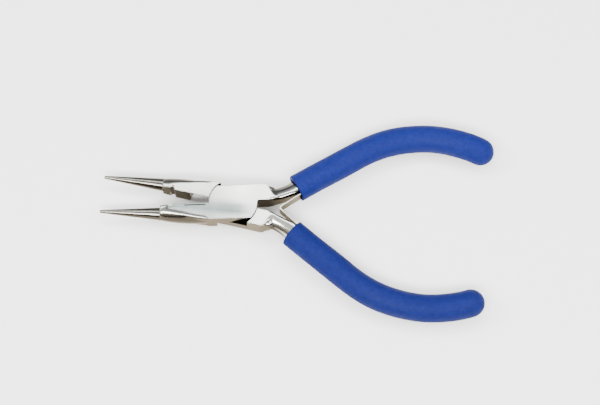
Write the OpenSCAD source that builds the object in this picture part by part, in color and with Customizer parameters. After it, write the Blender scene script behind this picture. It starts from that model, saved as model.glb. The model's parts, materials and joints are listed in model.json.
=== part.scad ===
// Round nose pliers with a crimping notch, a side cutter and bowed cushion grips.
// Millimetres. The origin is on the pivot axis, in the rear face of the joint.
// +X runs from the pivot towards the handles, +Y towards the handle of the front half, and
// +Z out of the front face. The tool stands open, with its two halves mirrored about the X axis.

/* [Jaws] */
// Distance from the pivot to the tips of the round jaws
tip_reach = 46.3; // [44:0.1:49]
// Distance from the pivot to the wide end of the round jaws
cone_root = 25; // [24.5:0.1:25.5]
// Radius of a jaw at its tip
tip_r = 0.55; // [0.4:0.05:0.8]
// Radius of a jaw at its wide end
cone_r = 2.3; // [2.1:0.05:2.5]
// Half of the gap left between the closed jaws
jaw_gap = 0.06; // [0.04:0.01:0.1]
// Radius of the crimping notch
crimp_r = 0.9; // [0.6:0.1:1.1]

/* [Joint] */
// Thickness of the joint and of the jaw blocks
thick = 7.6; // [7.2:0.1:8]
// Distance from the pivot to the long edges of the joint plates
plate_half = 6.2; // [6:0.1:6.3]
// Radius of the rivet
rivet_r = 2.5; // [2.2:0.1:2.8]
// Radial clearance of the rivet in the turning half
rivet_fit = 0.05; // [0.02:0.01:0.09]
// Angle between the two halves as the tool stands open
open_angle = 14.6; // [12:0.2:16]

/* [Handles] */
// Radius of a cushion grip
grip_r = 4.95; // [4.75:0.05:5.2]
// Length of the straight stretch of a grip
grip_straight = 26; // [24:0.5:29]
// Radius of the bow of a handle
bow_r = 45; // [42:1:48]
// Angle through which a handle bows
bow_angle = 57; // [53:1:61]

/* [Spring] */
// Thickness of the spring strip
strip_t = 0.6; // [0.5:0.05:0.7]
// Width of the spring strip
strip_w = 4.5; // [4:0.1:5]
// Outer radius of the bend in the spring
spring_bend_r = 1.1; // [1:0.1:1.4]

/* [Hidden] */
$fn = 64;
eps = 0.1;
half_t = thick / 2;

// Round jaw, its inner side lying along the contact line
cone_angle = atan((cone_r - tip_r) / (tip_reach - cone_root));
cone_len = (tip_reach - cone_root) / cos(cone_angle);
cone_tail = 1;

// Jaw block: turned about its own axis near the cone, and flat-sided near the joint
block_axis = 1.3;
block_r0 = 3.3;
block_r1 = 4.85;
block_grow = 13;
block_end = 4;
flat_long = 14.8;
flat_end = 6;
flat_sliver = 0.01;
first_land_end = 22.2;
first_land_drop = 0.2;
crimp_x = 21.3;

// Side cutter: its edges lie in the front face
cutter_x0 = 14.9;
cutter_x1 = 8.1;
cutter_bevel_y = 0.8;
cutter_bevel_z = 1.9;
cutter_mid_y = 2.5;
cutter_mid_z = 4.3;
cutter_deep = 2.8;
cutter_corner_r = 1.2;

// Lap joint
plate_left_r = 7.8;
plate_right_r = 9.15;
jaw_shoulder_r = 7.95;
root_shoulder_r = 9.45;
lap_gap = 0.02;
head_r = 3.3;
head_h = 1;

// Handle root: the last full-thickness part of a half
root_top = [12, 6.4];
root_corner = [12.9, 6];
root_toe = [16.2, 1.3];
root_toe_back = 1;
root_inner = 0.35;
neck_sink = 0.2;
neck_shoulder = [14.4, 5.55];
neck_end = [15.6, 5.4];
neck_half_t = 3.1;

// Tang and grip share one path: a bend from the root, a straight stretch and a bow
mouth = [23, 5.5];
mouth_dir = 27.9;
tang_bend_r = 30;
tang_start_dir = 6;
tang_half_t = 3.4;
tang_in = 2.2;
tang_crown_r = 4.6;
tang_crown_in = 1.6;
tang_bow = 40;
mouth_lead = 1;
bow_start = mouth + grip_straight * [cos(mouth_dir), sin(mouth_dir)];
bow_centre = bow_start + bow_r * [sin(mouth_dir), -cos(mouth_dir)];
bend_centre = mouth + tang_bend_r * [-sin(mouth_dir), cos(mouth_dir)];
// Stretches of a sweep run a little into each other, the straight one a little slimmer
joint_lap = 0.6;
joint_inset = 0.03;
// Further than any part of a handle
handle_reach = 150;

// Spring: its legs lie on the inner sides of the tangs and end inside the grips
spring_x = 17;
leg_dir = 39;
leg_len = 19;
leg_grip_len = 13;
leg_room = 0.15;
pocket_depth = 2.1;

// Places a half, or what is on it, drawn with the tool closed and its mid-plane at z = 0
module in_front() {
    translate([0, 0, half_t]) rotate([0, 0, open_angle / 2]) children();
}

module in_rear() {
    translate([0, 0, half_t]) rotate([0, 0, -open_angle / 2]) rotate([180, 0, 0]) children();
}

module slab(low, high) {
    translate([0, 0, low]) linear_extrude(high - low) children();
}

// A section swept along the straight stretch, starting `lead` before the mouth of the grip.
// Its x points away from the other handle.
module on_straight(lead) {
    translate([mouth[0], mouth[1], 0]) rotate([0, 0, mouth_dir]) rotate([90, 0, 90])
        translate([0, 0, -lead]) linear_extrude(lead + grip_straight + joint_lap) children();
}

// The same section swept along the bow
module on_bow(sweep) {
    translate([bow_centre[0], bow_centre[1], 0]) rotate([0, 0, 90 + mouth_dir - sweep])
        rotate_extrude(angle = sweep) translate([bow_r, 0]) children();
}

// Section of a tang: flat on the inner side, crowned above and below, meeting on the outer side
module tang_section(inset) {
    flat = tang_in - inset;
    drop = tang_crown_r - tang_half_t;
    intersection() {
        translate([-tang_crown_in, -drop]) circle(tang_crown_r - inset);
        translate([-tang_crown_in, drop]) circle(tang_crown_r - inset);
        translate([-flat, -tang_half_t]) square([2 * tang_half_t, 2 * tang_half_t]);
    }
}

module tang_in_grip(lead) {
    on_straight(lead) tang_section(joint_inset);
    on_bow(tang_bow) tang_section(0);
}

module tang() {
    translate([bend_centre[0], bend_centre[1], 0]) rotate([0, 0, tang_start_dir - 90])
        rotate_extrude(angle = mouth_dir - tang_start_dir)
            translate([tang_bend_r, 0]) mirror([1, 0]) tang_section(0);
    tang_in_grip(joint_lap);
}

module round_jaw() {
    translate([-cone_root, -cone_r * cos(cone_angle) - jaw_gap, 0])
        rotate([0, 0, -cone_angle]) rotate([0, -90, 0]) {
            cylinder(h = cone_len, r1 = cone_r, r2 = tip_r);
            translate([0, 0, -cone_tail]) cylinder(h = cone_tail + eps, r = cone_r - eps);
        }
}

// Outline of the flat front and rear faces of the jaw block, a quarter of an ellipse
module block_flat() {
    steps = 16;
    polygon([
        [-flat_end, -jaw_gap],
        for (i = [0 : steps]) [
            -flat_end - flat_long * cos(90 * i / steps),
            -max(plate_half * sin(90 * i / steps), jaw_gap + flat_sliver)
        ],
        [-block_end, -plate_half],
        [-block_end, -jaw_gap]
    ]);
}

module block_turned() {
    steps = 10;
    translate([0, -block_axis, 0]) rotate([0, 90, 0]) rotate_extrude() polygon([
        [0, -block_end],
        [0, -cone_root],
        for (i = [0 : steps]) [
            block_r1 - (block_r1 - block_r0) * pow(1 - i / steps, 2),
            -cone_root + block_grow * i / steps
        ],
        [block_r1, -block_end]
    ]);
}

module jaw_block() {
    intersection() {
        union() {
            block_turned();
            slab(-half_t, half_t) block_flat();
        }
        translate([-cone_root - eps, -2 * plate_half, -half_t])
            cube([cone_root, 2 * plate_half - jaw_gap, thick]);
    }
}

// Relief behind the cutting edge, which lies at z = half_t
module cutter_relief() {
    intersection() {
        translate([-cutter_x0, 0, 0]) rotate([90, 0, 90]) linear_extrude(cutter_x0 - cutter_x1) polygon([
            [eps, half_t],
            [-jaw_gap, half_t],
            [-jaw_gap - cutter_bevel_y, half_t - cutter_bevel_z],
            [-jaw_gap - cutter_mid_y, half_t - cutter_mid_z],
            [-jaw_gap - cutter_deep, -half_t - eps],
            [eps, -half_t - eps]
        ]);
        slab(-half_t - eps, half_t) union() {
            translate([-cutter_x0, -cutter_deep + cutter_corner_r])
                square([cutter_x0, cutter_deep]);
            translate([-cutter_x0 + cutter_corner_r, -cutter_deep - eps])
                square([cutter_x0, cutter_deep]);
            translate([-cutter_x0 + cutter_corner_r, -cutter_deep + cutter_corner_r])
                circle(cutter_corner_r);
        }
    }
}

module jaw_cuts(edge_in_front) {
    translate([-cone_root - eps, -jaw_gap - first_land_drop, -thick])
        cube([cone_root - first_land_end + eps, thick, 2 * thick]);
    translate([-crimp_x, -jaw_gap, -thick]) cylinder(h = 2 * thick, r = crimp_r);
    if (edge_in_front) cutter_relief();
    else mirror([0, 0, 1]) cutter_relief();
}

module root_outline() {
    polygon([
        [0, plate_half],
        root_top,
        root_corner,
        root_toe,
        [root_toe[0] - root_toe_back, root_inner],
        [0, root_inner]
    ]);
}

// Two half discs about the pivot, one towards the jaws and one towards the handles
module half_discs(jaw_side_r, handle_side_r) {
    intersection() {
        circle(jaw_side_r);
        translate([-jaw_side_r, -jaw_side_r]) square([jaw_side_r, 2 * jaw_side_r]);
    }
    intersection() {
        circle(handle_side_r);
        translate([0, -handle_side_r]) square([handle_side_r, 2 * handle_side_r]);
    }
}

// Plate of the front layer, from the arc at the jaw to the arc at the handle
module plate_outline() {
    intersection() {
        half_discs(plate_left_r, plate_right_r);
        translate([-plate_left_r, -plate_half]) square([2 * plate_right_r, 2 * plate_half]);
    }
    root_outline();
    polygon([
        [plate_right_r - root_toe_back, -root_inner],
        [plate_right_r, -root_inner],
        [root_shoulder_r, root_inner],
        [plate_right_r - root_toe_back, root_inner]
    ]);
}

// Neck where the top of the root falls to the tang
module neck_outline() {
    polygon([
        [root_shoulder_r, root_inner],
        [root_shoulder_r, root_top[1] - neck_sink],
        root_corner,
        neck_shoulder,
        neck_end,
        [neck_end[0], root_inner + eps]
    ]);
}

// One half with the tool closed: jaw below the contact line, handle above it
module half(edge_in_front) {
    difference() {
        union() {
            jaw_block();
            slab(-half_t, half_t) plate_outline();
            slab(-neck_half_t, neck_half_t) neck_outline();
            intersection() {
                tang();
                translate([0, root_inner, -thick]) cube([handle_reach, handle_reach, 2 * thick]);
            }
        }
        // Room for the plate of the other half, in the rear layer
        slab(-half_t - eps, lap_gap) half_discs(jaw_shoulder_r, root_shoulder_r);
        jaw_cuts(edge_in_front);
    }
    round_jaw();
}

// Bore for the rivet, countersunk in the outer face of the plate
module rivet_bore(room) {
    translate([0, 0, -thick]) cylinder(h = 2 * thick, r = rivet_r + room);
    translate([0, 0, half_t - head_h])
        cylinder(h = head_h, r1 = rivet_r + room, r2 = head_r + room);
}

module front_half() {
    color("gainsboro") in_front() difference() {
        half(true);
        rivet_bore(0);
    }
}

module rear_half() {
    color("silver") in_rear() difference() {
        half(false);
        rivet_bore(rivet_fit);
    }
}

module pivot_rivet() {
    color("lightgray") {
        cylinder(h = thick, r = rivet_r);
        cylinder(h = head_h, r1 = head_r, r2 = rivet_r);
        translate([0, 0, thick - head_h]) cylinder(h = head_h, r1 = rivet_r, r2 = head_r);
    }
}

// Room for a leg of the spring, between the tang and the inner wall of the grip
module leg_pocket() {
    translate([mouth[0], mouth[1], 0]) rotate([0, 0, mouth_dir])
        translate([-eps, -tang_in - pocket_depth, -strip_w / 2 - leg_room])
            cube([leg_grip_len + eps, pocket_depth + eps, strip_w + 2 * leg_room]);
}

module grip() {
    difference() {
        union() {
            on_straight(0) circle(grip_r - joint_inset);
            on_bow(bow_angle) circle(grip_r);
            translate([bow_centre[0], bow_centre[1], 0]) rotate([0, 0, 90 + mouth_dir - bow_angle])
                translate([bow_r, 0, 0]) sphere(grip_r - joint_inset);
        }
        tang_in_grip(mouth_lead);
        leg_pocket();
    }
}

module upper_grip() {
    color("royalblue") in_front() grip();
}

module lower_grip() {
    color("mediumblue") in_rear() grip();
}

// The legs meet on the X axis, in a bend around its own small radius
module return_spring() {
    leg_r = spring_bend_r - strip_t / 2;
    leg_t = strip_t - joint_inset;
    color("darkgray") translate([spring_x + spring_bend_r, 0, half_t - strip_w / 2]) {
        for (side = [0, 1]) mirror([0, side, 0]) rotate([0, 0, leg_dir])
            translate([-eps, leg_r - leg_t / 2, 0]) cube([leg_len + eps, leg_t, strip_w]);
        rotate([0, 0, 90 + leg_dir]) rotate_extrude(angle = 180 - 2 * leg_dir)
            translate([spring_bend_r - strip_t, 0]) square([strip_t, strip_w]);
    }
}

front_half();
rear_half();
pivot_rivet();
return_spring();
upper_grip();
lower_grip();
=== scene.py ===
"""Looks of the round nose pliers: satin forgings, cushion grips and a V return spring."""

import json
import math

import bmesh
import bpy
import numpy as np
from mathutils import Matrix, Vector


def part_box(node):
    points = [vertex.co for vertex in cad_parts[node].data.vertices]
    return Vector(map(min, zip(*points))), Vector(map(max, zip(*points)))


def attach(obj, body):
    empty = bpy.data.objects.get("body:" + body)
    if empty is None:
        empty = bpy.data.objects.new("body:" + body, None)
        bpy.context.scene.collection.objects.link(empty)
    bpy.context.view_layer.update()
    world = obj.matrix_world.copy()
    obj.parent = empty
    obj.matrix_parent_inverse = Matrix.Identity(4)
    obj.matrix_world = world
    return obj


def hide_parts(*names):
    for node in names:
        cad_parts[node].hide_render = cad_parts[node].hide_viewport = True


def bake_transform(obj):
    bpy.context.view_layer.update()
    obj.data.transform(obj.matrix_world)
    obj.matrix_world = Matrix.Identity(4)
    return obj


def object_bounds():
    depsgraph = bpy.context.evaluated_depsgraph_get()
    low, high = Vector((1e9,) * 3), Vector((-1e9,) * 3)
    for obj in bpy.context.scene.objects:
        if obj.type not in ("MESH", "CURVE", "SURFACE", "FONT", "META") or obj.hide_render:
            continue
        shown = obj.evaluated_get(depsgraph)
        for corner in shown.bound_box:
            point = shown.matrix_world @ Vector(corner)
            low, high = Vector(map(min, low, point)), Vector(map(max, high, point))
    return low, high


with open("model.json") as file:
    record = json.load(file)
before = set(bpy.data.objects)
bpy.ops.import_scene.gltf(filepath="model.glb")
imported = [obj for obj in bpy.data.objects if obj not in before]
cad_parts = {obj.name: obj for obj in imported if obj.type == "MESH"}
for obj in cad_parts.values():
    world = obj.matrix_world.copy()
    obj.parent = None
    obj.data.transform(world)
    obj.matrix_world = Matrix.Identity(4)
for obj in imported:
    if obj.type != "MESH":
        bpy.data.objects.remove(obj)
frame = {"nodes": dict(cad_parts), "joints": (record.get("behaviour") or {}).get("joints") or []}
cad_low, cad_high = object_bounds()

MM = 0.001

# Points of a CAD mesh closer than WELD are one point, and those within CUT_SNAP of a cut lie on it
WELD = 1e-6
CUT_SNAP = 1e-7
# Smoothing: the share of its way that a vertex goes in one round, and a pull too weak to count
SMOOTH_STEP = 0.5
STILL = 1e-4
# How strongly broad faces set the shading of the rounded edges beside them
FLATNESS = 80

# Half of the angle through which the tool closes: each half stands this far from closed
OPEN_HALF = math.radians(frame["joints"][0]["range_deg"][1] / 2)
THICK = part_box("pivot_rivet")[1].z
MID = THICK / 2
HEAD_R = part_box("pivot_rivet")[1].x

# The mouth of a grip and the direction of its path there, tool closed, in millimetres from the
# middle of the pivot
MOUTH = np.array([23.0, 5.5, 0.0])
MOUTH_DIR = math.radians(27.9)
ALONG = np.array([math.cos(MOUTH_DIR), math.sin(MOUTH_DIR), 0.0])
# The middle of the pivot, for arrays and for Blender's own vectors
MID_POINT = np.array([0.0, 0.0, MID])
CENTRE = Vector((0.0, 0.0, MID))

# Camera: the tool as seen from its own front, turned, tilted and rolled a little. The lens is in
# millimetres, and the places are in metres: back from the pivot, and across and down the view.
VIEW_TURN = math.radians(-5.0)
VIEW_TILT = math.radians(20.8)
VIEW_ROLL = math.radians(0.25)
VIEW_LENS = 114.0
VIEW_DISTANCE = 0.6688
VIEW_ACROSS = 0.02414
VIEW_DOWN = 0.00102


# ---------------------------------------------------------------- mesh helpers

def coords(mesh):
    """The vertices of a mesh as an array."""
    out = np.zeros(len(mesh.vertices) * 3)
    mesh.vertices.foreach_get("co", out)
    return out.reshape(-1, 3)


def set_coords(mesh, points):
    """Puts an array of points back into a mesh."""
    mesh.vertices.foreach_set("co", points.astype(np.float32).ravel())
    mesh.update()


def edges(mesh):
    """The two vertices of each edge of a mesh, as an array."""
    out = np.zeros(len(mesh.edges) * 2, dtype=np.int64)
    mesh.edges.foreach_get("vertices", out)
    return out.reshape(-1, 2)


def ramp(values, low, high):
    """0 below low, 1 above high, and smooth between."""
    t = np.clip((values - low) / (high - low), 0, 1)
    return t * t * (3 - 2 * t)


def within(values, low, high):
    """1 strictly between low and high, and 0 elsewhere."""
    return (values > low) * (values < high)


def band(values, low, high, soft):
    """1 between low and high, 0 outside, with soft limits."""
    return ramp(values, low - soft, low + soft) * (1 - ramp(values, high - soft, high + soft))


def smooth(mesh, weight, rounds):
    """Moves each vertex towards the mean of its neighbours, by its own weight."""
    points = coords(mesh)
    pull = SMOOTH_STEP * np.asarray(weight).reshape(-1, 1)
    moving = pull[:, 0] > STILL
    pairs = edges(mesh)
    pairs = pairs[moving[pairs[:, 0]] | moving[pairs[:, 1]]]
    count = np.maximum(np.bincount(pairs.ravel(), minlength=len(points)), 1)[:, None]
    for _ in range(rounds):
        total = np.zeros_like(points)
        for axis in range(3):
            column = points[:, axis]
            forth = np.bincount(pairs[:, 0], column[pairs[:, 1]], len(points))
            back = np.bincount(pairs[:, 1], column[pairs[:, 0]], len(points))
            total[:, axis] = forth + back
        points += pull * (total / count - points)
    set_coords(mesh, points)


def keep_result(obj):
    """Applies the object's modifiers to its mesh."""
    shown = obj.evaluated_get(bpy.context.evaluated_depsgraph_get())
    mesh = bpy.data.meshes.new_from_object(shown)
    obj.modifiers.clear()
    old = obj.data
    obj.data = mesh
    bpy.data.meshes.remove(old)
    mesh.name = obj.name


def new_object(name, bm):
    """Turns a bmesh into an object of the scene."""
    mesh = bpy.data.meshes.new(name)
    bm.to_mesh(mesh)
    bm.free()
    obj = bpy.data.objects.new(name, mesh)
    bpy.context.collection.objects.link(obj)
    return obj


def disc_plug(bm, radius, low, high):
    """Adds a short closed cylinder about the pivot axis."""
    made = bmesh.ops.create_cone(
        bm, cap_ends=True, segments=PLUG_SIDES, radius1=radius, radius2=radius, depth=high - low
    )
    bmesh.ops.translate(bm, verts=made["verts"], vec=(0, 0, (low + high) / 2))


def from_node(name, node, voxel, plug=None, cut=None):
    """A finely meshed copy of a CAD node, with an optional plug, and cut off at a plane."""
    bm = bmesh.new()
    bm.from_mesh(frame["nodes"][node].data)
    bmesh.ops.remove_doubles(bm, verts=bm.verts, dist=WELD)
    if cut:
        place, along = cut
        everything = bm.verts[:] + bm.edges[:] + bm.faces[:]
        bmesh.ops.bisect_plane(
            bm, geom=everything, dist=CUT_SNAP, plane_co=place, plane_no=along, clear_outer=True
        )
        bmesh.ops.holes_fill(bm, edges=bm.edges)
    if plug:
        disc_plug(bm, *plug)
    obj = new_object(name, bm)
    remesh = obj.modifiers.new("remesh", "REMESH")
    remesh.mode = "VOXEL"
    remesh.voxel_size = voxel
    keep_result(obj)
    return obj


def thin_out(obj, share):
    """Keeps only a share of the triangles, where the shape needs them most."""
    cut = obj.modifiers.new("thin_out", "DECIMATE")
    cut.ratio = share
    keep_result(obj)


def shade_smooth(obj):
    """Smooth shading in which broad flat faces stay flat up to their rounded edges."""
    obj.data.shade_smooth()
    even = obj.modifiers.new("even", "WEIGHTED_NORMAL")
    even.weight = FLATNESS
    keep_result(obj)


def closed_frame(points, rear):
    """Points as they lie in their half with the tool closed, its mid-plane at z = 0."""
    angle = OPEN_HALF if rear else -OPEN_HALF
    x = points[:, 0] * math.cos(angle) - points[:, 1] * math.sin(angle)
    y = points[:, 0] * math.sin(angle) + points[:, 1] * math.cos(angle)
    z = points[:, 2] - MID
    side = -1 if rear else 1
    return np.stack([x, side * y, side * z], 1)


def from_closed(point, rear):
    """A point or direction of a half with the tool closed, as it lies in the open tool."""
    side = -1 if rear else 1
    angle = -OPEN_HALF if rear else OPEN_HALF
    x, y, z = point[0], side * point[1], side * point[2]
    turned_x = x * math.cos(angle) - y * math.sin(angle)
    turned_y = x * math.sin(angle) + y * math.cos(angle)
    return np.array([turned_x, turned_y, z])


def set_stops(ramp_node, stops):
    """Gives a colour ramp its stops: places from 0 to 1, each with a colour."""
    elements = ramp_node.color_ramp.elements
    while len(elements) < len(stops):
        elements.new(0.5)
    for element, (at, colour) in zip(elements, stops):
        element.position = at
        element.color = (*colour, 1)


def faces(mesh):
    """Centres and normals of the faces."""
    centres = np.zeros(len(mesh.polygons) * 3)
    facing = np.zeros(len(mesh.polygons) * 3)
    mesh.polygons.foreach_get("center", centres)
    mesh.polygons.foreach_get("normal", facing)
    return centres.reshape(-1, 3), facing.reshape(-1, 3)


def add_mask(mesh, name, values):
    """A share from 0 to 1 for each face, read by the materials."""
    layer = mesh.attributes.new(name, "FLOAT", "FACE")
    layer.data.foreach_set("value", np.asarray(values, dtype=np.float32))


# ---------------------------------------------------------------- materials

# Tints of the metals where they are seen at a glancing angle: straw on nickel, brown on strip
STEEL_GLANCE = (1.0, 0.90, 0.77, 1)
STRIP_GLANCE = (0.85, 0.77, 0.64, 1)
# Painted reflection on the flat faces across the plate, darker where the reflected light falls off,
# from its lower edge (0) to its upper edge (1)
REFLECTION_FALLOFF_STOPS = ((0.0, 0.3), (0.14, 0.5), (0.28, 0.95), (0.42, 0.85), (0.58, 0.22), (0.75, 0.0))
# How far the painted reflection falls off on the flat faces of the root
ROOT_REFLECTION_FALLOFF = 0.25
# The painted shade line beside the cutting edge, where its bevel looks dark, in millimetres with
# the tool closed: where it fades in and out along the edge, and across it
SHADE_LINE_X = (-16.6, -16.2, -9.2, -8.8)
SHADE_LINE_Y = (-1.0, -0.9, -0.56, -0.46)
GROUND_ROUGHNESS = 0.45


class Nodes:
    """Short calls for building a material's node tree."""

    def __init__(self, name):
        self.material = bpy.data.materials.new(name)
        self.material.use_nodes = True
        self.tree = self.material.node_tree
        self.shader = self.tree.nodes["Principled BSDF"]

    def add(self, kind, **settings):
        made = self.tree.nodes.new(kind)
        for key, value in settings.items():
            setattr(made, key, value)
        return made

    def link(self, out, into):
        self.tree.links.new(out, into)

    def place(self):
        """Places in the object's own axes, in metres."""
        return self.add("ShaderNodeTexCoord").outputs["Object"]

    def stretched(self, scale, turn=0.0):
        """Places scaled along the axes and turned about Z."""
        mapping = self.add("ShaderNodeMapping")
        mapping.inputs["Scale"].default_value = scale
        mapping.inputs["Rotation"].default_value = (0, 0, turn)
        self.link(self.place(), mapping.inputs["Vector"])
        return mapping.outputs["Vector"]

    def noise(self, vector, scale, detail, roughness=0.55):
        """A noise from 0 to 1, mostly near 0.5; scale is in cycles for each unit of the vector."""
        noise = self.add("ShaderNodeTexNoise")
        noise.inputs["Scale"].default_value = scale
        noise.inputs["Detail"].default_value = detail
        noise.inputs["Roughness"].default_value = roughness
        self.link(vector, noise.inputs["Vector"])
        return noise.outputs["Fac"]

    def span(self, value, low, high, to_low, to_high):
        """Takes low to to_low and high to to_high, and stays within them."""
        node = self.add("ShaderNodeMapRange")
        for key, number in zip(("From Min", "From Max", "To Min", "To Max"),
                               (low, high, to_low, to_high)):
            node.inputs[key].default_value = number
        self.link(value, node.inputs["Value"])
        return node.outputs["Result"]

    def spread(self, noise, half=0.2):
        """Spreads the middle of a noise, half to each side of 0.5, from 0 to 1."""
        return self.span(noise, 0.5 - half, 0.5 + half, 0, 1)

    def mask(self, name):
        """A share that was stored for each face."""
        return self.add("ShaderNodeAttribute", attribute_name=name).outputs["Fac"]

    def mix(self, factor, first, second):
        """Mixes two colours; each is a colour or a socket."""
        node = self.add("ShaderNodeMix", data_type="RGBA")
        self.link(factor, node.inputs["Factor"])
        for source, into in ((first, node.inputs["A"]), (second, node.inputs["B"])):
            if isinstance(source, tuple):
                into.default_value = (*source, 1)
            else:
                self.link(source, into)
        return node.outputs["Result"]

    def mix_value(self, factor, first, second):
        """Mixes two numbers; each is a number or a socket."""
        node = self.add("ShaderNodeMix", data_type="FLOAT")
        self.link(factor, node.inputs["Factor"])
        for source, into in ((first, node.inputs["A"]), (second, node.inputs["B"])):
            if isinstance(source, (int, float)):
                into.default_value = source
            else:
                self.link(source, into)
        return node.outputs["Result"]

    def times(self, first, second):
        node = self.add("ShaderNodeMath", operation="MULTIPLY")
        self.link(first, node.inputs[0])
        self.link(second, node.inputs[1])
        return node.outputs["Value"]

    def bump(self, height, distance, under=None):
        """A bump as deep as distance, laid over another bump where one is given."""
        node = self.add("ShaderNodeBump")
        node.inputs["Distance"].default_value = distance
        node.inputs["Strength"].default_value = 1.0
        self.link(height, node.inputs["Height"])
        if under:
            self.link(under, node.inputs["Normal"])
        return node.outputs["Normal"]


def steel_material():
    """Satin nickel-plated steel with painted reflections and painted shade: flat faces lighter past
    the pivot with a darker band, faces dimmer and darker where they look back and warm where they
    look down to the floor, and near-black painted shade on the ground lands, in the recesses and in
    a line by the cutting edge.
    """
    n = Nodes("satin_steel")
    grain = n.noise(n.stretched((60, 2600, 900), 0.05), 1.0, detail=3)
    cloud = n.noise(n.place(), 160, detail=5)
    speck = n.noise(n.place(), 2600, detail=2)
    cloudy = n.spread(cloud)
    specked = n.spread(speck, 0.15)
    # Painted reflection: the base is darker towards the jaws and lighter past the pivot, standing
    # for the flat faces' reflection of the light, which is brighter towards the root
    jaw_reflection_dim = n.mix(cloudy, (0.29, 0.295, 0.275), (0.36, 0.365, 0.345))
    root_reflection_bright = n.mix(cloudy, (0.50, 0.505, 0.485), (0.58, 0.585, 0.565))
    split = n.add("ShaderNodeSeparateXYZ")
    n.link(n.place(), split.inputs["Vector"])
    past_pivot = n.span(split.outputs["X"], -7 * MM, 4 * MM, 0, 1)
    lengthwise_reflection = n.mix(past_pivot, jaw_reflection_dim, root_reflection_bright)
    # Painted reflection: a dark tone for the flat faces where their reflection of the light falls
    # off
    reflection_falloff = n.mix(cloudy, (0.072, 0.092, 0.090), (0.102, 0.127, 0.123))
    turned = n.mix(cloudy, (0.135, 0.131, 0.114), (0.185, 0.180, 0.159))
    # Painted reflections: dim and dark grey for the faces that look back into the dim surroundings
    dim_reflection = n.mix(cloudy, (0.15, 0.153, 0.148), (0.21, 0.214, 0.208))
    dark_reflection = n.mix(cloudy, (0.036, 0.037, 0.034), (0.052, 0.054, 0.050))
    # Painted reflection: warm tan for the faces that look forward and down at the shaded floor near
    # the tool
    floor_reflection = n.mix(cloudy, (0.048, 0.041, 0.030), (0.070, 0.061, 0.047))
    # Painted shade: the ground lands face the other jaw across a narrow gap and are painted near
    # black
    land_shade = n.mix(specked, (0.011, 0.0105, 0.008), (0.030, 0.029, 0.023))
    # Painted shade: near black for the recesses and for the line beside the cutting edge
    dark = n.mix(specked, (0.003, 0.003, 0.0022), (0.010, 0.010, 0.0075))
    colour = n.mix(reflection_falloff_band(n), lengthwise_reflection, reflection_falloff)
    tones = (
        ("cone", turned), ("dim_reflection", dim_reflection), ("dark_reflection", dark_reflection), ("floor_reflection", floor_reflection),
        ("ground_in_shade", land_shade), ("shadow", dark),
    )
    for mask, tone in tones:
        colour = n.mix(n.mask(mask), colour, tone)
    # Painted shade: the dark line beside the cutting edge
    colour = n.mix(shade_line(n), colour, dark)
    n.link(colour, n.shader.inputs["Base Color"])
    satin = n.span(grain, 0.25, 0.75, 0.09, 0.20)
    rough = n.mix_value(n.mask("ground_in_shade"), satin, GROUND_ROUGHNESS)
    n.link(rough, n.shader.inputs["Roughness"])
    n.shader.inputs["Metallic"].default_value = 1.0
    n.shader.inputs["Specular Tint"].default_value = STEEL_GLANCE
    fine = n.bump(grain, 0.003 * MM)
    n.link(n.bump(speck, 0.003 * MM, under=fine), n.shader.inputs["Normal"])
    return n.material


def shade_line(n):
    """A painted shade line beside the cutting edge, in the front face of the front half, where the
    edge's bevel would look dark.
    """
    turned = n.stretched((1 / MM, 1 / MM, 1 / MM), -OPEN_HALF)
    split = n.add("ShaderNodeSeparateXYZ")
    n.link(turned, split.inputs["Vector"])
    inside = n.mask("shade_line_face")
    for axis, limits in (("X", SHADE_LINE_X), ("Y", SHADE_LINE_Y)):
        low_out, low_in, high_in, high_out = limits
        inside = n.times(inside, n.span(split.outputs[axis], low_out, low_in, 0, 1))
        inside = n.times(inside, n.span(split.outputs[axis], high_out, high_in, 0, 1))
    return inside


def reflection_falloff_band(n):
    """A band of painted dimmer reflection along the flat faces, below the middle of the plate."""
    split = n.add("ShaderNodeSeparateXYZ")
    n.link(n.place(), split.inputs["Vector"])
    height = n.span(split.outputs["Y"], -8 * MM, 8 * MM, 0, 1)
    curve = n.add("ShaderNodeValToRGB")
    n.link(height, curve.inputs["Fac"])
    set_stops(curve, [(at, (falloff, falloff, falloff)) for at, falloff in REFLECTION_FALLOFF_STOPS])
    on_root = n.span(split.outputs["X"], 3 * MM, 10 * MM, 0, 1)
    falloff = n.mix_value(on_root, curve.outputs["Color"], ROOT_REFLECTION_FALLOFF)
    return n.mix_value(n.mask("flat"), 0.0, falloff)


def rivet_material():
    """Bright turned steel."""
    n = Nodes("rivet_steel")
    turned = n.noise(n.stretched((900, 900, 200)), 1.0, detail=3)
    cloud = n.noise(n.place(), 700, detail=4)
    cloudy = n.spread(cloud)
    n.link(n.mix(cloudy, (0.70, 0.69, 0.67), (0.84, 0.83, 0.81)), n.shader.inputs["Base Color"])
    n.link(n.span(turned, 0.3, 0.7, 0.2, 0.38), n.shader.inputs["Roughness"])
    n.shader.inputs["Metallic"].default_value = 1.0
    n.link(n.bump(turned, 0.004 * MM), n.shader.inputs["Normal"])
    return n.material


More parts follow.
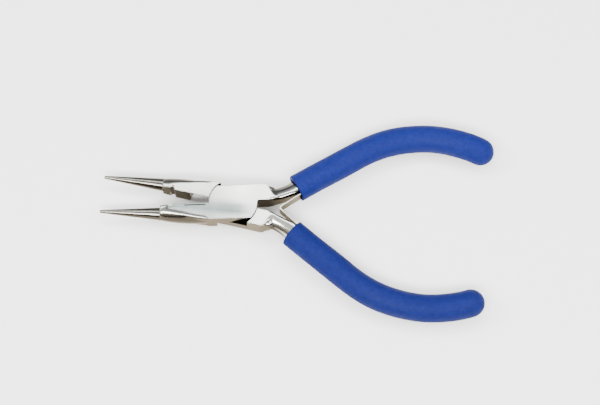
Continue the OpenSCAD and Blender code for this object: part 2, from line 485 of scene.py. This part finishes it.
def spring_material():
    """Rolled spring strip: a painted highlight on the edges that look up, darker straw-coloured
    sides and drawn marks.
    """
    n = Nodes("spring_strip")
    drawn = n.noise(n.stretched((300, 300, 3000)), 1.0, detail=3)
    cloud = n.noise(n.place(), 400, detail=4)
    cloudy = n.spread(cloud)
    side = n.mix(cloudy, (0.10, 0.088, 0.066), (0.19, 0.17, 0.135))
    edge = n.mix(cloudy, (0.34, 0.32, 0.28), (0.5, 0.48, 0.43))
    # Painted highlight: faces that look up are lighter than the sides
    n.link(n.mix(n.mask("edge"), side, edge), n.shader.inputs["Base Color"])
    n.link(n.span(drawn, 0.3, 0.7, 0.2, 0.36), n.shader.inputs["Roughness"])
    n.shader.inputs["Metallic"].default_value = 1.0
    n.shader.inputs["Specular Tint"].default_value = STRIP_GLANCE
    n.link(n.bump(drawn, 0.005 * MM), n.shader.inputs["Normal"])
    return n.material


def grip_material(name, shade_factor):
    """Matte blue cushion grip: fine pores, mottled tone, rubbed patches, painted shade in the bore,
    and the blue darkened by shade_factor as painted shade.
    """
    # Painted shade: the blue is scaled by this factor, below 1 for a grip that gets less light
    def with_painted_shade(*colour):
        return tuple(shade_factor * part for part in colour)

    n = Nodes(name)
    pores = n.noise(n.place(), 2400, detail=3, roughness=0.6)
    mottle = n.noise(n.place(), 620, detail=5, roughness=0.65)
    patch = n.noise(n.place(), 70, detail=3)
    pored = n.spread(pores)
    deep = n.mix(pored, with_painted_shade(0.0026, 0.0068, 0.073), with_painted_shade(0.0036, 0.0096, 0.102))
    light = n.mix(pored, with_painted_shade(0.0034, 0.0086, 0.092), with_painted_shade(0.0050, 0.0122, 0.130))
    body = n.mix(n.spread(mottle, 0.15), deep, light)
    # Painted shade: the bore is near black inside
    shade = n.mix(n.mask("inside"), body, (0.002, 0.003, 0.012))
    n.link(shade, n.shader.inputs["Base Color"])
    n.link(n.span(patch, 0.3, 0.7, 0.55, 0.7), n.shader.inputs["Roughness"])
    n.shader.inputs["Specular IOR Level"].default_value = 0.10
    coarse = n.bump(mottle, 0.05 * MM)
    n.link(n.bump(pores, 0.04 * MM, under=coarse), n.shader.inputs["Normal"])
    return n.material


def dress(obj, material, body, slot, *nodes):
    """Gives a finished piece its material and its body, and hides the nodes it stands for; slot is
    not used.
    """
    obj.data.materials.clear()
    obj.data.materials.append(material)
    shade_smooth(obj)
    if nodes:
        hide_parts(*nodes)
    if body:
        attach(obj, body)


# ---------------------------------------------------------------- forgings

FORGING_VOXEL = 0.11 * MM
FORGING_SHARE = 0.45
# The tang is seen as far as the mouth of its grip, and ends a little way inside
TANG_END = 11.0

# Rounds of smoothing: of all the edges, of the neck, and of the shoulders of the jaw block
EDGE_ROUNDS = 4
NECK_ROUNDS = 200
SHOULDER_ROUNDS = 170

# Here and below, places are in millimetres and lie as they do with the tool closed, and a pair
# such as NECK_IN says where something begins and where it is full.

# The flat faces of a jaw block end in a quarter of an ellipse
FLAT_END = 6.0
FLAT_LONG = 14.8
FLAT_HALF = 6.2
# The softly rounded shoulders about it: measured in that ellipse, which is at 1, then along the
# tool, below the jaw's own middle, and out from the mid-plane
SHOULDER_ELLIPSE = (0.6, 1.5, 0.2)
SHOULDER_X = (-24.3, -9, 0.8)
SHOULDER_BELOW = -0.9
SHOULDER_Z = (1.4, 2.4)

# The neck between the flat root and the tang
NECK_IN = (13.0, 15.5)
NECK_OUT = (18, 23)

# Zones with a tone of their own: the cone, the ground lands (also painted near black as shade), the
# cutter, the inner side of the handle root and the hidden faces of the lap (all in painted shade),
# the tang (with painted reflections) and the front face with the painted shade line
CONE_FROM = (24.6, 25.0)
LAND_X = (-24.9, -13.4)
LAND_ABOVE = -2.2
CUTTER_X = (-15.8, -7.9)
CUTTER_Y = (-3.3, -0.1)
GAP_FROM = 8.5
GAP_FADE = (25, 40)
LAP_R = 10.5
LAP_Z = (-3.5, 0.5)
LAP_MID = 0.5
TANG_FROM = (14.5, 17.0)
SHADE_LINE_ABOVE = 3.6

# Directions in which the faces of such a zone look, as parts of their normals
LAND_FACING = (0.35, 0.6)
CUTTER_FACING = 0.85
GAP_FACING = (0.45, 0.75)
LAP_INWARD = (0.3, 0.6)
LAP_FACING = (0.6, 0.8)
FLAT_FACING = (0.97, 0.995)
# Painted reflections: how far a face looks back to get the dim and the dark tone, and forward and
# down to get the warm tone of the floor; the tang has limits of its own
DIM_REFLECTION_FACING = (0.15, 0.40)
DARK_REFLECTION_FACING = (0.48, 0.62)
FLOOR_REFLECTION_FACING = (0.66, 0.82)
TANG_DIM_REFLECTION_FACING = (-0.02, 0.2)
TANG_DIM_REFLECTION = 0.5
TANG_DARK_REFLECTION_FACING = (-0.36, 0.02, 0.06)
TANG_DARK_REFLECTION = 0.9

# The rivet's front head is ground into the face: the forging covers it with a plug, and the
# rivet ends just under that
PLUG_SIDES = 64
PLUG_LAP = 0.05 * MM
PLUG_DEPTH = 0.8 * MM
RIVET_UNDER = 0.85 * MM
RIVET_EDGE = 0.08 * MM
RIVET_EDGE_FROM = math.radians(40)


def forging(name, node, body, rear, material):
    """One half. Edges are broken all over, and the neck flows into the tang."""
    plug = None if rear else (HEAD_R + PLUG_LAP, THICK - PLUG_DEPTH, THICK)
    obj = from_node(name, node, FORGING_VOXEL, plug, cut=tang_cut(rear))
    mesh = obj.data
    smooth(mesh, np.ones(len(mesh.vertices)), EDGE_ROUNDS)
    x, y, z = closed_frame(coords(mesh), rear).T / MM
    smooth(mesh, ramp(x, *NECK_IN) * (1 - ramp(x, *NECK_OUT)), NECK_ROUNDS)
    flat_edge = ((x + FLAT_END) / FLAT_LONG) ** 2 + (y / FLAT_HALF) ** 2
    shoulder = band(flat_edge, *SHOULDER_ELLIPSE) * band(x, *SHOULDER_X) * (y < SHOULDER_BELOW)
    smooth(mesh, shoulder * ramp(np.abs(z), *SHOULDER_Z), SHOULDER_ROUNDS)
    thin_out(obj, FORGING_SHARE)
    paint_forging(obj.data, rear)
    dress(obj, material, body, "forging", node)


def tang_cut(rear):
    """Where the hidden part of a tang is cut away: a point and a direction, in the CAD frame."""
    reach = MOUTH + TANG_END * ALONG
    return from_closed(reach, rear) * MM + MID_POINT, from_closed(ALONG, rear)


def paint_forging(mesh, rear):
    """Marks where the steel is ground, in painted shade, given painted reflections (dim, dark or
    warm), flat, on the painted shade line, or turned.
    """
    centres, facing = faces(mesh)
    x, y, z = closed_frame(centres, rear).T / MM
    side = facing[:, 1]
    out_x, out_y, out_z = closed_frame(facing + MID_POINT, rear).T
    radius = np.hypot(x, y)
    inward = -(x * out_x + y * out_y) / np.maximum(radius, 1)

    # Ground lands: rougher, and painted near black as shade
    lands = within(x, *LAND_X) * (y > LAND_ABOVE) * ramp(out_y, *LAND_FACING)
    cutter = within(x, *CUTTER_X) * within(y, *CUTTER_Y) * (np.abs(out_z) < CUTTER_FACING)
    gap_side = (x > GAP_FROM) * ramp(-out_y, *GAP_FACING) * (1 - ramp(x, *GAP_FADE))
    lap_faces = ramp(np.abs(out_z), *LAP_FACING) * (np.abs(z) < LAP_MID)
    lap_walls = ramp(inward, *LAP_INWARD)
    lap = (radius < LAP_R) * within(z, *LAP_Z) * np.maximum(lap_walls, lap_faces)
    # Painted shade: the cutter, the inner side of the handle root and the hidden faces of the lap
    shadow = np.clip(cutter + gap_side + lap, 0, 1)
    bare = (1 - lands) * (1 - shadow)

    # Painted reflections, set by which way a face looks in Y: dim and dark where it looks back,
    # warm tan where it looks forward and down; the front tang is also dimmed and darkened over most
    # of its front
    tang = ramp(x, *TANG_FROM)
    tang_dim_reflection = TANG_DIM_REFLECTION * tang * ramp(side, *TANG_DIM_REFLECTION_FACING)
    tang_dark_reflection = TANG_DARK_REFLECTION * tang * band(side, *TANG_DARK_REFLECTION_FACING) * (0 if rear else 1)
    add_mask(mesh, "ground_in_shade", lands)
    add_mask(mesh, "shadow", shadow)
    add_mask(mesh, "dim_reflection", bare * np.maximum(ramp(side, *DIM_REFLECTION_FACING), tang_dim_reflection))
    add_mask(mesh, "dark_reflection", bare * np.maximum(ramp(side, *DARK_REFLECTION_FACING), tang_dark_reflection))
    add_mask(mesh, "floor_reflection", bare * ramp(-side, *FLOOR_REFLECTION_FACING))
    add_mask(mesh, "flat", ramp(np.abs(out_z), *FLAT_FACING))
    add_mask(mesh, "shade_line_face", (z > SHADE_LINE_ABOVE) * (0 if rear else 1))
    add_mask(mesh, "cone", bare * ramp(-x, *CONE_FROM))


def rivet(material):
    """The rivet; its front head is ground into the face, so it ends just under it."""
    bm = bmesh.new()
    bm.from_mesh(frame["nodes"]["pivot_rivet"].data)
    bmesh.ops.remove_doubles(bm, verts=bm.verts, dist=WELD)
    for vert in bm.verts:
        vert.co.z = min(vert.co.z, THICK - RIVET_UNDER)
    bmesh.ops.dissolve_degenerate(bm, dist=WELD, edges=bm.edges)
    bmesh.ops.recalc_face_normals(bm, faces=bm.faces)
    obj = new_object("flush_rivet", bm)
    bevel = obj.modifiers.new("edge", "BEVEL")
    bevel.width = RIVET_EDGE
    bevel.segments = 2
    bevel.angle_limit = RIVET_EDGE_FROM
    keep_result(obj)
    dress(obj, material, "front", "rivet", "pivot_rivet")


# ---------------------------------------------------------------- grips

# Sizes of a grip, in millimetres
GRIP_STRAIGHT = 26.0
BOW_R = 45.0
BOW_ANGLE = math.radians(57)
GRIP_LENGTH = GRIP_STRAIGHT + BOW_R * BOW_ANGLE
GRIP_R = 4.93
LIP_R = 0.3
MOUTH_GAP = 0.02
BORE_DEPTH = 14.0

# The bore follows what it holds: the tang, which has two crown arcs about centres set in and up
# and a flat inner side, and beside it a pocket for the leg of the spring
CROWN_R = 4.6
CROWN_IN = 1.6
CROWN_UP = 1.2
TANG_IN = 2.2
POCKET_IN = 4.3
POCKET_HALF = 2.4
BORE_CLEAR = 0.06
TINY = 1e-6

# Shallow dents of the skin: their depth, and for each wave its radians for each millimetre along
# the grip, for the direction across and for the direction up
DENT = 0.05
DENT_WAVES = ((0.41, 2.1, 0.0), (0.27, 1.7, -3.2))

# Fineness of the mesh
GRIP_SIDES = 96
GRIP_STEP = 0.5
BORE_RINGS = 25
LIP_STEPS = 6
DOME_STEPS = 14


def along_grip(reach):
    """Centre and direction of the grip's path at a distance from its mouth, tool closed."""
    if reach <= GRIP_STRAIGHT:
        return MOUTH + reach * ALONG, ALONG
    turned = min((reach - GRIP_STRAIGHT) / BOW_R, BOW_ANGLE)
    heading = MOUTH_DIR - turned
    away = np.array([-math.sin(MOUTH_DIR), math.cos(MOUTH_DIR), 0])
    spoke = np.array([-math.sin(heading), math.cos(heading), 0])
    bow_end = MOUTH + GRIP_STRAIGHT * ALONG + BOW_R * (spoke - away)
    along = np.array([math.cos(heading), math.sin(heading), 0])
    return bow_end + max(reach - GRIP_LENGTH, 0) * along, along


def bore_reach(across, up):
    """Distance from the centre line to the wall of the bore, in one direction of its section."""
    lean = -CROWN_IN * across - CROWN_UP * abs(up)
    wall = lean + math.sqrt(lean * lean - CROWN_IN ** 2 - CROWN_UP ** 2 + CROWN_R ** 2)
    if across < 0:
        pocket = min(POCKET_IN / -across, POCKET_HALF / max(abs(up), TINY))
        wall = max(min(wall, TANG_IN / -across), pocket)
    return wall + BORE_CLEAR


def grip_ring(reach, radius_at):
    """One ring of the sleeve: points around the path, at a radius that depends on the direction."""
    centre, along = along_grip(reach)
    across = np.array([-along[1], along[0], 0])
    ring = []
    for i in range(GRIP_SIDES):
        turn = 2 * math.pi * i / GRIP_SIDES
        side, up = math.cos(turn), math.sin(turn)
        radius = radius_at(side, up)
        ring.append(centre + radius * (side * across + np.array([0, 0, up])))
    return ring


def uneven(reach, side, up):
    """How far the skin lies under the grip's full radius."""
    waves = 0.0
    for along, across, height in DENT_WAVES:
        waves += math.sin(along * reach + across * side + height * up)
    return DENT * (2 + waves) / 2


def skin(reach, radius):
    """Radius of the dented skin, by the direction of the section."""
    return lambda side, up: radius - uneven(reach, side, up)


def lip(share):
    """Radius of the rim between the skin (0) and the bore (1), by direction."""
    def radius(side, up):
        wall = bore_reach(side, up)
        return (GRIP_R - LIP_R) * (1 - share) + (wall + LIP_R / 2) * share
    return radius


def grip_rings():
    """The rings of a sleeve, from deep in the bore over the rim and along the skin to the dome."""
    bore = np.linspace(BORE_DEPTH - 1, LIP_R, BORE_RINGS - 1)
    rings = [grip_ring(reach, bore_reach) for reach in (BORE_DEPTH, *bore)]
    rings += [grip_ring(MOUTH_GAP, lip(share)) for share in (1.0, 0.5, 0.0)]
    for quarter in np.linspace(0, math.pi / 2, LIP_STEPS)[1:]:
        reach = LIP_R * (1 - math.cos(quarter)) + MOUTH_GAP
        edge = GRIP_R - LIP_R + LIP_R * math.sin(quarter)
        rings.append(grip_ring(reach, skin(reach, edge)))
    for reach in np.linspace(2 * LIP_R, GRIP_LENGTH, int(GRIP_LENGTH / GRIP_STEP)):
        rings.append(grip_ring(reach, skin(reach, GRIP_R)))
    for dome in np.linspace(0, math.pi / 2, DOME_STEPS)[1:-1]:
        reach = GRIP_LENGTH + GRIP_R * math.sin(dome)
        rings.append(grip_ring(reach, skin(reach, GRIP_R * math.cos(dome))))
    return rings


def grip(name, node, body, rear, material):
    """A cushion sleeve swept along the handle, with a soft rim, a bore and a domed end."""
    rings = grip_rings()
    points = [point for ring in rings for point in ring]
    points.append(along_grip(BORE_DEPTH)[0])
    points.append(along_grip(GRIP_LENGTH + GRIP_R - DENT)[0])
    bm = bmesh.new()
    made = [bm.verts.new(from_closed(point, rear) * MM + MID_POINT) for point in points]
    last = (len(rings) - 1) * GRIP_SIDES
    for low in range(0, last, GRIP_SIDES):
        high = low + GRIP_SIDES
        for i in range(GRIP_SIDES):
            j = (i + 1) % GRIP_SIDES
            bm.faces.new((made[low + i], made[low + j], made[high + j], made[high + i]))
    for i in range(GRIP_SIDES):
        j = (i + 1) % GRIP_SIDES
        bm.faces.new((made[i], made[-2], made[j]))
        bm.faces.new((made[last + i], made[last + j], made[-1]))
    bmesh.ops.recalc_face_normals(bm, faces=bm.faces)
    obj = new_object(name, bm)
    # A face of the bore has a corner in one of the first rings
    inside = [min(face.vertices) < BORE_RINGS * GRIP_SIDES for face in obj.data.polygons]
    add_mask(obj.data, "inside", inside)
    dress(obj, material, body, "grip", node)


# ---------------------------------------------------------------- spring

SPRING_VOXEL = 0.09 * MM
SPRING_ROUNDS = 3
SPRING_SHARE = 0.4
# How far up a face of the strip looks where the painted highlight on the upper edge begins, and
# where it is full
UP_EDGE_HIGHLIGHT_FACING = (0.6, 0.9)


def return_spring(material):
    """The V strip between the two halves, finely meshed along its length."""
    obj = from_node("v_spring", "return_spring", SPRING_VOXEL)
    smooth(obj.data, np.ones(len(obj.data.vertices)), SPRING_ROUNDS)
    thin_out(obj, SPRING_SHARE)
    facing = faces(obj.data)[1]
    # Painted highlight on the faces of the strip that look up
    add_mask(obj.data, "edge", ramp(facing[:, 2], *UP_EDGE_HIGHLIGHT_FACING))
    dress(obj, material, None, "spring", "return_spring")
    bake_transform(obj)


# ---------------------------------------------------------------- stage

# The floor lies this far under the lowest point of the tool, and reaches this far each way
FLOOR_GAP = 0.2 * MM
FLOOR_REACH = 3.0

# Colours of the surroundings against the height looked in, from straight down to straight up
SKY_BEHIND = (
    (0.0, (0.26, 0.265, 0.265)),
    (0.40, (0.26, 0.265, 0.265)),
    (0.66, (0.42, 0.42, 0.42)),
    (0.80, (0.75, 0.75, 0.74)),
    (1.0, (0.80, 0.80, 0.79)),
)
SKY_BEFORE = (
    (0.0, (0.14, 0.115, 0.080)),
    (0.25, (0.13, 0.105, 0.070)),
    (0.56, (0.34, 0.30, 0.24)),
    (0.75, (0.72, 0.70, 0.66)),
    (1.0, (0.80, 0.80, 0.79)),
)
# Half of the width over which the one changes into the other
SKY_CHANGE = 0.25
SKY_STRENGTH = 1.6

# Soft lights, all aimed at the pivot: name, place, size and power
SOFTBOXES = (
    ("back_panel", (0.0, 0.254, 0.544), (0.9, 0.19), 4.2),
    ("near_strip", (0.0, -0.58, 0.81), (1.0, 0.24), 24),
    ("left_key", (-0.9, 0.0, 0.8), (0.5, 0.4), 12),
    ("right_key", (0.9, 0.0, 0.8), (0.5, 0.4), 12),
)


def floor(top):
    """A plain pale floor just under the tool."""
    bm = bmesh.new()
    bmesh.ops.create_grid(bm, x_segments=1, y_segments=1, size=FLOOR_REACH)
    obj = new_object("floor", bm)
    obj.location.z = top
    n = Nodes("pale_floor")
    n.shader.inputs["Base Color"].default_value = (0.93, 0.93, 0.93, 1)
    n.shader.inputs["Roughness"].default_value = 0.9
    obj.data.materials.append(n.material)


def horizon_ramp(tree, height, stops):
    """Colours of the surroundings against the height of the direction looked in."""
    ramp_node = tree.nodes.new("ShaderNodeValToRGB")
    tree.links.new(height, ramp_node.inputs["Fac"])
    set_stops(ramp_node, stops)
    return ramp_node.outputs["Color"]


def sky():
    """Bright overhead, cool and dim behind the tool, and brown and dim in front of it."""
    world = bpy.data.worlds.new("studio")
    bpy.context.scene.world = world
    world.use_nodes = True
    tree = world.node_tree
    place = tree.nodes.new("ShaderNodeTexCoord")
    split = tree.nodes.new("ShaderNodeSeparateXYZ")
    tree.links.new(place.outputs["Generated"], split.inputs["Vector"])
    behind = horizon_ramp(tree, split.outputs["Z"], SKY_BEHIND)
    before = horizon_ramp(tree, split.outputs["Z"], SKY_BEFORE)
    side = tree.nodes.new("ShaderNodeMapRange")
    side.inputs["From Min"].default_value = -SKY_CHANGE
    side.inputs["From Max"].default_value = SKY_CHANGE
    tree.links.new(split.outputs["Y"], side.inputs["Value"])
    both = tree.nodes.new("ShaderNodeMix")
    both.data_type = "RGBA"
    tree.links.new(side.outputs["Result"], both.inputs["Factor"])
    tree.links.new(before, both.inputs["A"])
    tree.links.new(behind, both.inputs["B"])
    tree.links.new(both.outputs["Result"], tree.nodes["Background"].inputs["Color"])
    tree.nodes["Background"].inputs["Strength"].default_value = SKY_STRENGTH


def softbox(name, place, size, power):
    """A rectangular white light that looks at the pivot."""
    light = bpy.data.lights.new(name, "AREA")
    light.shape = "RECTANGLE"
    light.size, light.size_y = size
    light.energy = power
    obj = bpy.data.objects.new(name, light)
    obj.location = place
    obj.rotation_mode = "QUATERNION"
    obj.rotation_quaternion = (CENTRE - Vector(place)).to_track_quat("-Z", "Y")
    bpy.context.collection.objects.link(obj)


def camera():
    """Looks at the pivot from the front, turned with the tool in its own plane."""
    turn = Matrix.Rotation(-VIEW_TURN, 3, "Z")
    right = Vector((1, 0, 0))
    up = Vector((0, math.cos(VIEW_TILT), math.sin(VIEW_TILT)))
    back = right.cross(up)
    rolled_right = right * math.cos(VIEW_ROLL) + up * math.sin(VIEW_ROLL)
    rolled_up = up * math.cos(VIEW_ROLL) - right * math.sin(VIEW_ROLL)
    place = rolled_right * VIEW_ACROSS + rolled_up * VIEW_DOWN + back * VIEW_DISTANCE
    lens = bpy.data.cameras.new("camera")
    lens.lens = VIEW_LENS
    lens.sensor_width = 36
    lens.clip_start = 0.01
    obj = bpy.data.objects.new("camera", lens)
    axes = Matrix((turn @ rolled_right, turn @ rolled_up, turn @ back)).transposed()
    obj.matrix_world = Matrix.Translation(turn @ place + CENTRE) @ axes.to_4x4()
    bpy.context.collection.objects.link(obj)
    bpy.context.scene.camera = obj


# ---------------------------------------------------------------- assembly

camera()
steel = steel_material()
forging("front_forging", "front_half", "front", rear=False, material=steel)
forging("rear_forging", "rear_half", "rear", rear=True, material=steel)
rivet(rivet_material())
return_spring(spring_material())
upper_blue = grip_material("upper_blue", shade_factor=1.0)
grip("upper_cushion", "upper_grip", "front", rear=False, material=upper_blue)
# The lower grip is painted a shade darker, for the less light that falls on it
lower_blue_shaded = grip_material("lower_blue_shaded", shade_factor=0.8)
grip("lower_cushion", "lower_grip", "rear", rear=True, material=lower_blue_shaded)

floor(cad_low.z - FLOOR_GAP)
sky()
for name, place, size, power in SOFTBOXES:
    softbox(name, place, size, power)
